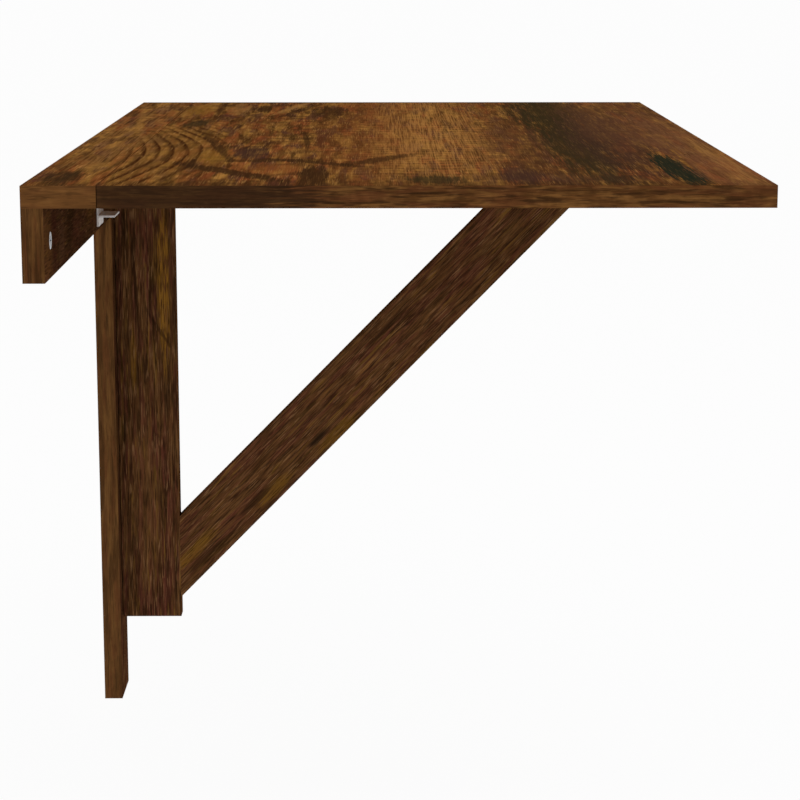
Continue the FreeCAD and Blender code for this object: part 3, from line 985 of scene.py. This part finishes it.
TOP_MARKS = (
    Mark((0.275, 0.05), (0.045, 0.55), paint(112, 64, 31), 0.5, edge=0.5, broken=0.4),
    Mark((0.342, 0.10), (0.056, 0.62), paint(176, 123, 64), 0.54, edge=0.6, broken=0.85),
    Mark((0.030, 0.05), (0.030, 0.50), HONEY, 0.45, edge=0.4, broken=1.0),
    Mark((0.137, -0.232), (0.013, 0.075), AMBER_HONEY, 0.7, edge=0.35, broken=0.5),
    Mark((0.079, 0.372), (0.014, 0.090), AMBER_HONEY, 0.8, edge=0.4, broken=0.6),
    Mark((0.122, 0.385), (0.011, 0.095), HONEY, 0.6, edge=0.3, broken=0.5),
    Mark((0.102, 0.390), (0.004, 0.100), SMOKE_BROWN, 0.7),
    Mark((0.190, -0.360), (0.020, 0.050), paint(128, 73, 35), 0.6, edge=0.4, broken=0.5),
    Mark((0.171, -0.203), (0.014, 0.070), SMOKE_PLUM, 0.85, edge=0.25, broken=0.3),
    Mark((0.158, -0.385), (0.015, 0.085), SMOKE_BROWN, 0.8, lean=-0.6, edge=0.25),
    Mark((0.119, -0.312), (0.007, 0.045), SMOKE_BROWN, 0.75),
    Mark((0.228, -0.421), (0.013, 0.085), SMOKE_BROWN, 0.85, edge=0.25),
    Mark((0.133, -0.147), (0.006, 0.140), SMOKE_BROWN, 0.75, lean=-0.165),
    Mark((0.185, -0.280), (0.045, 0.016), SMOKE_BROWN, 0.55, edge=0.5),
    Mark((0.233, -0.306), (0.018, 0.034), SMOKE_BROWN, 0.75, lean=-1.07, edge=0.4),
    Mark((0.282, -0.273), (0.014, 0.062), SMOKE_BROWN, 0.75, lean=0.49, edge=0.4),
    Mark((0.213, -0.055), (0.003, 0.100), SMOKE_BROWN, 0.7, lean=-0.05),
    Mark((0.227, -0.070), (0.0035, 0.110), paint(84, 46, 26), 0.75, lean=-0.03),
    Mark((0.195, 0.365), (0.006, 0.130), SMOKE_BROWN, 0.65, lean=0.18),
    Mark((0.184, 0.400), (0.005, 0.110), HONEY, 0.6, lean=0.18),
    Mark((0.420, -0.120), (0.036, 0.400), paint(80, 49, 31), 0.65, edge=0.5, broken=0.4),
    Mark((0.092, 0.160), (0.013, 0.055), SMOKE_GREEN, 0.75, lean=0.13, edge=0.3),
    Mark((0.150, 0.383), (0.011, 0.060), SMOKE_BROWN, 0.85, edge=0.3),
    Mark((0.231, 0.324), (0.020, 0.090), SMOKE_BROWN, 0.7),
    Mark((0.330, -0.455), (0.024, 0.034), SMOKE_GREEN, 0.85),
    Mark((0.402, -0.420), (0.016, 0.070), SMOKE_PLUM, 0.75),
    Mark((0.440, -0.445), (0.060, 0.040), SMOKE_PLUM, 0.5, edge=0.6),
    Mark((0.475, 0.30), (0.042, 0.34), SMOKE_GREEN, 0.92, edge=0.5),
    Mark((0.470, -0.13), (0.030, 0.34), SMOKE_GREEN, 0.9, edge=0.5),
    Mark((0.508, -0.06), (0.036, 0.36), SMOKE_PLUM, 0.7, edge=0.6),
    Mark((0.552, 0.22), (0.060, 0.40), paint(94, 61, 40), 0.6, edge=0.4, broken=0.3),
    Mark((0.578, -0.10), (0.024, 0.36), HONEY, 0.3, edge=0.4, broken=0.9),
    Mark((0.572, -0.04), (0.030, 0.26), paint(96, 60, 44), 0.5, edge=0.5, broken=0.5),
    Mark((0.538, -0.370), (0.014, 0.155), KNOT_GREEN, 0.92, lean=-0.03, edge=0.12),
    Mark((0.578, -0.400), (0.027, 0.190), RUSSET, 0.65, lean=-0.03, edge=0.12, broken=0.5),
    Mark((0.588, -0.260), (0.009, 0.240), HONEY, 0.6, broken=0.7),
    Mark((0.026, -0.432), (0.016, 0.056), paint(42, 31, 18), 0.85, broken=0.2),
    Mark((0.330, -0.500), (0.300, 0.030), SMOKE_BROWN, 0.45, edge=0.6),
    Mark((0.300, 0.500), (0.300, 0.016), SMOKE_BROWN, 0.5),
)

SHELF_EDGE_MARKS = (
    Mark((0.039, -0.030), (0.030, 0.040), paint(112, 74, 40), 0.45),
)

LEAF_EDGE_MARKS = (
    Mark((0.039, -0.120), (0.030, 0.110), paint(46, 30, 19), 0.78, edge=0.25),
)

RAIL_MARKS = (
    Mark((0.0, -0.250), (0.120, 0.330), paint(62, 39, 23), 0.62, edge=0.35),
    Mark((-0.004, -0.478), (0.045, 0.022), paint(96, 62, 32), 0.6, edge=0.6),
    Mark((0.010, -0.440), (0.030, 0.014), paint(66, 34, 24), 0.6, edge=0.6),
    Mark((-0.012, -0.395), (0.016, 0.016), paint(84, 56, 38), 0.6, edge=0.6),
    Mark((0.008, -0.330), (0.022, 0.030), paint(44, 28, 14), 0.7, lean=0.4, edge=0.6),
    Mark((-0.010, -0.300), (0.014, 0.026), paint(78, 44, 30), 0.5, edge=0.6),
    Mark((0.004, -0.190), (0.016, 0.040), AMBER, 0.3, edge=0.6),
)

RAIL_EDGE_MARKS = (
    Mark((0.009, 0.0), (0.030, 0.060), paint(66, 42, 20), 0.4),
)

POST_EDGE_MARKS = (
    Mark((0.009, -0.280), (0.030, 0.300), paint(104, 72, 40), 0.3),
)

STILE_MARKS = (
    Mark((0.070, -0.110), (0.009, 0.110), SMOKE_BROWN, 0.5, broken=0.4),
    Mark((0.067, -0.105), (0.0055, 0.075), paint(136, 94, 34), 0.95, edge=0.3, broken=0.75),
    Mark((0.0345, -0.175), (0.003, 0.030), AMBER, 0.6, broken=0.4),
    Mark((0.063, -0.150), (0.0018, 0.020), paint(34, 20, 10), 0.65, lean=-0.6, broken=0.4),
    Mark((0.045, -0.330), (0.012, 0.080), paint(112, 76, 42), 0.45, broken=0.6),
)

BRACE_MARKS = (
    Mark((-0.3255, 0.000), (0.045, 0.420), paint(128, 86, 50), 0.25, edge=0.2, broken=0.9),
    Mark((-0.332, -0.205), (0.006, 0.032), AMBER, 0.7, broken=0.3),
    Mark((-0.346, -0.190), (0.004, 0.038), SMOKE_BROWN, 0.8),
    Mark((-0.345, -0.100), (0.006, 0.020), AMBER, 0.65, broken=0.3),
    Mark((-0.340, -0.122), (0.003, 0.022), SMOKE_BROWN, 0.85),
    Mark((-0.340, -0.030), (0.003, 0.016), paint(38, 27, 17), 0.9),
    Mark((-0.351, -0.012), (0.006, 0.026), AMBER, 0.6, broken=0.3),
    Mark((-0.324, 0.056), (0.002, 0.020), HONEY, 0.6, broken=0.4),
    Mark((-0.311, 0.104), (0.0025, 0.028), SMOKE_BROWN, 0.8),
)


def dress(name: str, material: bpy.types.Material) -> None:
    """Give a board or fitting of the frame its material.

    Args:
        name: The frame's name for it.
        material: What it is finished in.
    """
    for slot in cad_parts[name].material_slots:
        slot.material = material
    log.info("%s: %s", name, material.name)


@dataclass(frozen=True)
class Board:
    """A board and the bands round its edges.

    Attributes:
        node: The frame's name for it.
        lie: How it lies.
        seed: Seed of the figure on its faces.
        band_seed: Seed of the figure on its bands.
        marks: Patches at set places on its faces.
        band_marks: Patches at set places on its bands.
        oak: The print of its faces.
        band_oak: The print of its bands.
    """

    node: str
    lie: Lie
    seed: float
    band_seed: float
    marks: Sequence[Mark] = ()
    band_marks: Sequence[Mark] = ()
    oak: OakPrint = FRAME_OAK
    band_oak: OakPrint = FRAME_BAND_OAK

    @property
    def name(self) -> str:
        """Name of the board in words."""
        return self.node.replace("_", " ")

    def dress(self) -> None:
        """Give the board and its bands their materials."""
        dress(self.node, self.oak.board(self.name, self.lie, self.seed, self.marks))
        dress(f"{self.node}_edging", self.band_oak.edging(self))


def dress_dowels(seeds: dict[str, float], lie: Lie) -> None:
    """Give sets of dowels their beech.

    Args:
        seeds: Seed of the figure, by the frame's name of the set.
        lie: How the dowels lie.
    """
    for node, seed in seeds.items():
        dress(node, BEECH.board(node.replace("_", " "), lie, seed))


# Screws made in full

@dataclass(frozen=True)
class CountersunkScrew:
    """Countersunk wood screw with a cross recess, made about its own axis, in metres.

    Attributes:
        radius: Over the thread.
        length: From the head's face to the point.
        root: Radius at the bottom of the thread.
        pitch: From one turn of the thread to the next.
        point: Length of the tapered point.
        recess: Half the span of the cross recess at the head's face.
        slot: Half the width of each arm of the recess.
        depth: Depth of the recess.
        slope: How far the recess's walls lean in, as a share of an arm's half width and length.
        sides: Points round it.
        turn_rows: Rows of points for each turn of the thread.
        face_rows: Where the rows of the head's face are, in shares of its radius.
        worn_rim: How far the rim is rounded down, as a share of the head's radius.
        crest: Half the width of the thread's crest, in pitches.
        blunt: Thickness of the very point, as a share of the shank's.
    """

    radius: float = 1.5 * MM
    length: float = 14 * MM
    root: float = 1.05 * MM
    pitch: float = 1.1 * MM
    point: float = 2.4 * MM
    recess: float = 1.15 * MM
    slot: float = 0.28 * MM
    depth: float = 0.75 * MM
    slope: float = 0.35
    sides: int = 40
    turn_rows: int = 6
    face_rows: tuple[float, ...] = (0.0, 0.1, 0.2, 0.28, 0.36, 0.45, 0.55, 0.62, 0.7, 0.85, 0.97, 1.0)
    worn_rim: float = 0.04
    crest: float = 0.3
    blunt: float = 0.08

    def surface(self, sheet: float) -> np.ndarray:
        """Work out the screw's surface as one closed grid, with its face at z = 0 and its end below.

        Each row is a ring of points round the axis. The rings go out over the face, down the cone
        of the head and down the shank to the point. Inside the recess the face is lowered
        towards the middle of each arm. The shank's radius rises and falls with the turn of the
        thread, which is the height in pitches minus the share of a whole turn.

        Args:
            sheet: Thickness of the sheet that the head is sunk in, which is the head's depth.

        Returns:
            Rows by sides by 3 points.
        """
        turn = np.linspace(0, 2 * math.pi, self.sides, endpoint=False)
        rim = self.radius + sheet
        face = np.array(self.face_rows) * rim
        face_height = np.zeros_like(face)
        face_height[-1] = -self.worn_rim * rim
        down = np.arange(sheet, self.length, self.pitch / self.turn_rows)[1:]
        radius = np.concatenate([face, [self.radius], np.full(len(down), self.radius), [0.0]])
        height = np.concatenate([face_height, [-sheet], -down, [-self.length]])
        ring_radius = np.repeat(radius[:, None], self.sides, axis=1)
        ring_height = np.repeat(height[:, None], self.sides, axis=1)

        shank = slice(len(face) + 1, len(face) + 1 + len(down))
        phase = (down[:, None] / self.pitch - turn[None, :] / (2 * math.pi)) % 1.0
        ridge = np.clip(1 - np.abs(phase - 0.5) / self.crest, 0, 1)
        taper = np.clip((self.length - down) / self.point, self.blunt, 1)[:, None]
        ring_radius[shank] = (self.root + (self.radius - self.root) * ridge) * taper

        x = ring_radius * np.cos(turn)
        y = ring_radius * np.sin(turn)
        near = np.minimum(np.abs(x), np.abs(y))
        far = np.maximum(np.abs(x), np.abs(y))
        arm = np.clip((1 + self.slope - near / self.slot) / (2 * self.slope), 0, 1)
        reach = np.clip((1 - far / self.recess) / self.slope, 0, 1)
        sunk = slice(0, len(face) - 2)
        ring_height[sunk] -= (self.depth * arm * reach)[sunk]
        return np.stack([x, y, ring_height], axis=-1)


def grid_faces(rows: int, columns: int, first: int) -> np.ndarray:
    """Quads of a grid that closes round its columns.

    Args:
        rows: Rings of points.
        columns: Points in each ring.
        first: Number of the grid's first point.

    Returns:
        Four point numbers for each quad, facing away from the axis when the rings go down.
    """
    ring = np.arange(rows - 1)[:, None] * columns
    side = np.arange(columns)[None, :]
    after = (side + 1) % columns
    quads = np.stack([ring + side, ring + columns + side, ring + columns + after, ring + after], axis=-1)
    return quads.reshape(-1, 4) + first


def turn_to(points: np.ndarray, origin: Point, direction: Point) -> np.ndarray:
    """Move points so that their own Z points along a direction.

    Args:
        points: Any array of points.
        origin: Where their own origin goes.
        direction: Where their Z goes.

    Returns:
        The moved points, in the same shape.
    """
    turn = np.array(Vector((0, 0, 1)).rotation_difference(Vector(direction)).to_matrix())
    return points @ turn.T + np.array(origin)


@dataclass(frozen=True)
class ScrewSet:
    """All the screws of one kind that share a node.

    Attributes:
        piece: Name of the new piece.
        node: The frame's node that it stands for.
        body: The body that it rides on.
        sheet: Thickness of the sheet that the heads are sunk in.
        direction: The way the heads face.
        places: Middle of each head's face.
    """

    piece: str
    node: str
    body: str
    sheet: float
    direction: Point
    places: Sequence[Point]

    def build(self, screw: CountersunkScrew, material: bpy.types.Material) -> bpy.types.Object:
        """Make the screws as one mesh and put it in the node's place.

        Args:
            screw: The screw that is repeated.
            material: Its finish.

        Returns:
            The new piece.
        """
        surface = screw.surface(self.sheet)
        rows, columns = surface.shape[:2]
        points = [turn_to(surface, place, self.direction).reshape(-1, 3) for place in self.places]
        faces = [grid_faces(rows, columns, index * rows * columns) for index in range(len(self.places))]
        mesh = bpy.data.meshes.new(self.piece)
        mesh.from_pydata(np.concatenate(points).tolist(), [], np.concatenate(faces).tolist())
        close_mesh(mesh)
        piece = bpy.data.objects.new(self.piece, mesh)
        bpy.context.scene.collection.objects.link(piece)
        mesh.materials.append(material)
        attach(piece, self.body)
        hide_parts(self.node)
        log.info("%s: %d screws for %s", self.piece, len(self.places), self.node)
        return piece


def close_mesh(mesh: bpy.types.Mesh) -> None:
    """Merge the points that lie together, drop what has no area and face everything outwards.

    Args:
        mesh: The mesh to close.
    """
    work = bmesh.new()
    work.from_mesh(mesh)
    bmesh.ops.remove_doubles(work, verts=work.verts, dist=1e-6)
    bmesh.ops.dissolve_degenerate(work, edges=work.edges, dist=1e-7)
    bmesh.ops.recalc_face_normals(work, faces=work.faces)
    work.to_mesh(mesh)
    work.free()


# Sub-assemblies

@dataclass
class WallFrame:
    """Fixed shelf, wall rail and wall post, with what joins them.

    Attributes:
        keeper_places: Middle of each keeper along the wall.
        keeper_screw_spacing: Between a keeper's two screws.
        keeper_sheet: Thickness of the keeper's plate.
        body: The body that it all rides on.
    """

    keeper_places: tuple[float, ...] = (-130 * MM, 130 * MM)
    keeper_screw_spacing: float = 22 * MM
    keeper_sheet: float = 1.8 * MM
    body: str = "root"

    def build(self) -> None:
        """Dress the boards and fittings and make the keepers' screws."""
        for board in (
            Board("fixed_shelf", Lie.FLAT, 3.0, 21.0, TOP_MARKS, SHELF_EDGE_MARKS, TOP_OAK, TOP_BAND_OAK),
            Board("wall_rail", Lie.RAIL, 31.0, 41.0, RAIL_MARKS, RAIL_EDGE_MARKS),
            Board("wall_post", Lie.POST, 51.0, 61.0, (), POST_EDGE_MARKS),
        ):
            board.dress()
        dress("shelf_cam_locks", CAM_NICKEL.material())
        dress("shelf_cam_bolts", SCREW_ZINC.material(2.0))
        dress_dowels({"shelf_dowels": 5.0, "post_dowels": 6.0}, Lie.POST)
        for number, name in enumerate(("keeper_near", "keeper_far")):
            dress(name, KEEPER_ALUMINIUM.material(float(number)))
        self.keeper_screws().build(CountersunkScrew(), SCREW_ZINC.material(4.0))

    def keeper_screws(self) -> ScrewSet:
        """Work out where the keepers' screws are.

        Returns:
            The set of screws.
        """
        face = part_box("keeper_screws")[1].x
        half = self.keeper_screw_spacing / 2
        places = [(face, middle + side * half, 0.0) for middle in self.keeper_places for side in (-1, 1)]
        return ScrewSet("keeper_wood_screws", "keeper_screws", self.body, self.keeper_sheet,
                        (1, 0, 0), places)


@dataclass
class Leaf:
    """The wide leaf and the three butt hinges that carry it.

    Attributes:
        hinge_places: Middle of each hinge along the wall.
        screw_offset: A screw's distance from its hinge's middle.
        screw_inset: A screw's distance from the pin.
        sheet: Thickness of the hinges' sheet.
        body: The body that the leaf rides on.
    """

    hinge_places: tuple[float, ...] = (-390 * MM, 0.0, 390 * MM)
    screw_offset: float = 12 * MM
    screw_inset: float = 12.5 * MM
    sheet: float = 1.2 * MM
    body: str = "leaf"

    def build(self) -> None:
        """Dress the leaf and its hinges and make the screws."""
        Board("drop_leaf", Lie.FLAT, 3.0, 22.0, TOP_MARKS, LEAF_EDGE_MARKS, TOP_OAK, TOP_BAND_OAK).dress()
        for number in range(1, len(self.hinge_places) + 1):
            for part in ("shelf_wing", "leaf_wing", "pin"):
                dress(f"leaf_hinge_{number}_{part}", HINGE_ZINC.material(float(number)))
        for screws in self.screw_sets():
            screws.build(CountersunkScrew(), SCREW_ZINC.material(6.0))

    def screw_sets(self) -> list[ScrewSet]:
        """Work out where the screws in the shelf and in the leaf are.

        Returns:
            The two sets of screws.
        """
        pin = sum(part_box("leaf_hinge_1_pin"), Vector()).x / 2
        sets = []
        for side, piece, body in ((-1, "shelf", "root"), (1, "leaf", self.body)):
            node = f"leaf_hinge_{piece}_screws"
            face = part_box(node)[0].z
            places = [(pin + side * self.screw_inset, middle + end * self.screw_offset, face)
                      for middle in self.hinge_places for end in (-1, 1)]
            sets.append(ScrewSet(f"leaf_hinge_wood_screws_{piece}", node, body, self.sheet,
                                 (0, 0, -1), places))
        return sets


@dataclass
class Gate:
    """The braced gate that swings out to carry the leaf, on two butt hinges.

    Attributes:
        hinge_levels: Height of each hinge's middle.
        screw_offset: A screw's distance from its hinge's middle.
        screw_inset: A screw's distance from the pin.
        sheet: Thickness of the hinges' sheet.
        body: The body that the gate rides on.
    """

    hinge_levels: tuple[float, ...] = (-90 * MM, -370 * MM)
    screw_offset: float = 17 * MM
    screw_inset: float = 11.5 * MM
    sheet: float = 1.5 * MM
    body: str = "gate"

    def build(self) -> None:
        """Dress the gate and its hinges and make the screws."""
        for board in (Board("gate_stile", Lie.STILE, 71.0, 81.0, STILE_MARKS),
                      Board("gate_top_rail", Lie.ARM, 91.0, 101.0),
                      Board("gate_brace", Lie.BRACE, 111.0, 121.0, BRACE_MARKS)):
            board.dress()
        dress_dowels({"gate_top_rail_dowels": 7.0, "gate_brace_dowels": 8.0}, Lie.ARM)
        dress("gate_rest_pad", PAD_PLASTIC.material())
        for number in range(1, len(self.hinge_levels) + 1):
            for part in ("post_wing", "stile_wing", "pin"):
                dress(f"gate_hinge_{number}_{part}", HINGE_ZINC.material(float(number + 3)))
        for screws in self.screw_sets():
            screws.build(CountersunkScrew(), SCREW_ZINC.material(8.0))

    def screw_sets(self) -> list[ScrewSet]:
        """Work out where the screws in the post and in the stile are.

        Returns:
            The two sets of screws.
        """
        pin = sum(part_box("gate_hinge_1_pin"), Vector()) / 2
        levels = [level + end * self.screw_offset for level in self.hinge_levels for end in (-1, 1)]
        post_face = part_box("gate_hinge_post_screws")[1].x
        stile_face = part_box("gate_hinge_stile_screws")[1].y
        post = [(post_face, pin.y + self.screw_inset, level) for level in levels]
        stile = [(pin.x + self.screw_inset, stile_face, level) for level in levels]
        return [ScrewSet("gate_hinge_wood_screws_post", "gate_hinge_post_screws", "root", self.sheet,
                         (1, 0, 0), post),
                ScrewSet("gate_hinge_wood_screws_stile", "gate_hinge_stile_screws", self.body, self.sheet,
                         (0, 1, 0), stile)]


# Floor, light and camera

@dataclass
class Studio:
    """Plain pale floor and soft light.

    Attributes:
        floor_level: Height of the floor, which puts the table's top at the height of a desk.
        floor_half: Half the floor's width.
        floor_colour: Its colour.
        ambient: Light from all round.
        key_power: Power of the soft box, in watts.
        key_size: Width of the soft box.
        key_place: Where the soft box hangs.
        key_aim: What it is aimed at.
        whiteness: How far the floor is plain white where it is looked at, 0 to 1.
    """

    floor_level: float = -0.702
    floor_half: float = 40.0
    floor_colour: Rgb = (0.9, 0.9, 0.9)
    ambient: float = 0.8
    key_power: float = 30.0
    key_size: float = 2.2
    key_place: Point = (1.4, -2.2, 2.6)
    key_aim: Point = (0.3, 0.0, 0.0)
    whiteness: float = 0.92

    def build(self) -> None:
        """Make the floor, the soft box and the light from all round."""
        self._floor()
        self._soft_box()
        self._surroundings()

    @staticmethod
    def _looked_at(wiring: Wiring) -> Socket:
        """Tell what is looked at from what only sends light.

        Args:
            wiring: Where the nodes go.

        Returns:
            1 for what is seen directly, in a reflection or through glass, else 0.
        """
        path = wiring.add("ShaderNodeLightPath")
        seen = wiring.math("MAXIMUM", path.outputs["Is Camera Ray"], path.outputs["Is Glossy Ray"])
        return wiring.math("MAXIMUM", seen, path.outputs["Is Transmission Ray"])

    def _floor(self) -> None:
        """Make the floor, which keeps the table's shadow and can be looked through from below."""
        half = self.floor_half
        corners = [(-half, -half), (half, -half), (half, half), (-half, half)]
        mesh = bpy.data.meshes.new("floor")
        mesh.from_pydata([(x, y, self.floor_level) for x, y in corners], [], [(0, 1, 2, 3)])
        floor = bpy.data.objects.new("floor", mesh)
        bpy.context.scene.collection.objects.link(floor)
        material = bpy.data.materials.new("pale floor")
        material.use_nodes = True
        tree = material.node_tree
        tree.nodes.clear()
        wiring = Wiring(tree)
        paper = wiring.fed("ShaderNodeBsdfDiffuse", self.floor_colour).outputs[0]
        white = wiring.add("ShaderNodeEmission").outputs[0]
        clear = wiring.add("ShaderNodeBsdfTransparent").outputs[0]
        share = wiring.times(self._looked_at(wiring), self.whiteness)
        seen = wiring.fed("ShaderNodeMixShader", share, paper, white).outputs[0]
        below = wiring.add("ShaderNodeNewGeometry").outputs["Backfacing"]
        wiring.fed("ShaderNodeOutputMaterial",
                   wiring.fed("ShaderNodeMixShader", below, seen, clear).outputs[0])
        mesh.materials.append(material)

    def _soft_box(self) -> None:
        """Hang a soft box and aim it at the table."""
        light = bpy.data.lights.new("soft box", "AREA")
        light.shape = "SQUARE"
        light.size = self.key_size
        light.energy = self.key_power
        lamp = bpy.data.objects.new("soft box", light)
        bpy.context.scene.collection.objects.link(lamp)
        lamp.location = self.key_place
        aim = Vector(self.key_aim) - lamp.location
        lamp.rotation_euler = aim.to_track_quat("-Z", "Y").to_euler()

    def _surroundings(self) -> None:
        """Light the table evenly from all round, and show plain white behind it."""
        world = bpy.data.worlds.new("surroundings")
        bpy.context.scene.world = world
        world.use_nodes = True
        tree = world.node_tree
        tree.nodes.clear()
        wiring = Wiring(tree)
        plain = (1.0, 1.0, 1.0)
        light = wiring.fed("ShaderNodeBackground", plain, self.ambient).outputs[0]
        white = wiring.fed("ShaderNodeBackground", plain).outputs[0]
        both = wiring.fed("ShaderNodeMixShader", self._looked_at(wiring), light, white).outputs[0]
        wiring.fed("ShaderNodeOutputWorld", both)


@dataclass
class Viewpoint:
    """The camera, square on to the table's near end and a little above it.

    Attributes:
        place: Where it stands.
        lens: Its focal length, in millimetres.
        yaw: Degrees that it is turned towards the leaf's outer edge.
        pitch: Degrees that it looks down.
        sensor: Width of its frame, in millimetres.
        sight: How far it sees.
    """

    place: Point = (0.2834, -2.3463, 0.2345)
    lens: float = 105.17
    yaw: float = 0.532
    pitch: float = 11.01
    sensor: float = 36.0
    sight: float = 200.0

    def build(self) -> None:
        """Make the camera and look through it."""
        data = bpy.data.cameras.new("camera")
        data.sensor_width = self.sensor
        data.lens = self.lens
        data.clip_end = self.sight
        camera = bpy.data.objects.new("camera", data)
        bpy.context.scene.collection.objects.link(camera)
        yaw, pitch = math.radians(self.yaw), math.radians(self.pitch)
        ahead = Vector((math.sin(yaw) * math.cos(pitch), math.cos(yaw) * math.cos(pitch), -math.sin(pitch)))
        camera.location = self.place
        camera.rotation_euler = ahead.to_track_quat("-Z", "Y").to_euler()
        bpy.context.scene.camera = camera


def main() -> None:
    """Build the table's looks, one sub-assembly after the other."""
    bpy.context.scene.view_settings.view_transform = "Standard"
    for assembly in (WallFrame(), Leaf(), Gate(), Studio(), Viewpoint()):
        assembly.build()
        log.info("%s done", type(assembly).__name__)


if __name__ == "__main__":
    main()
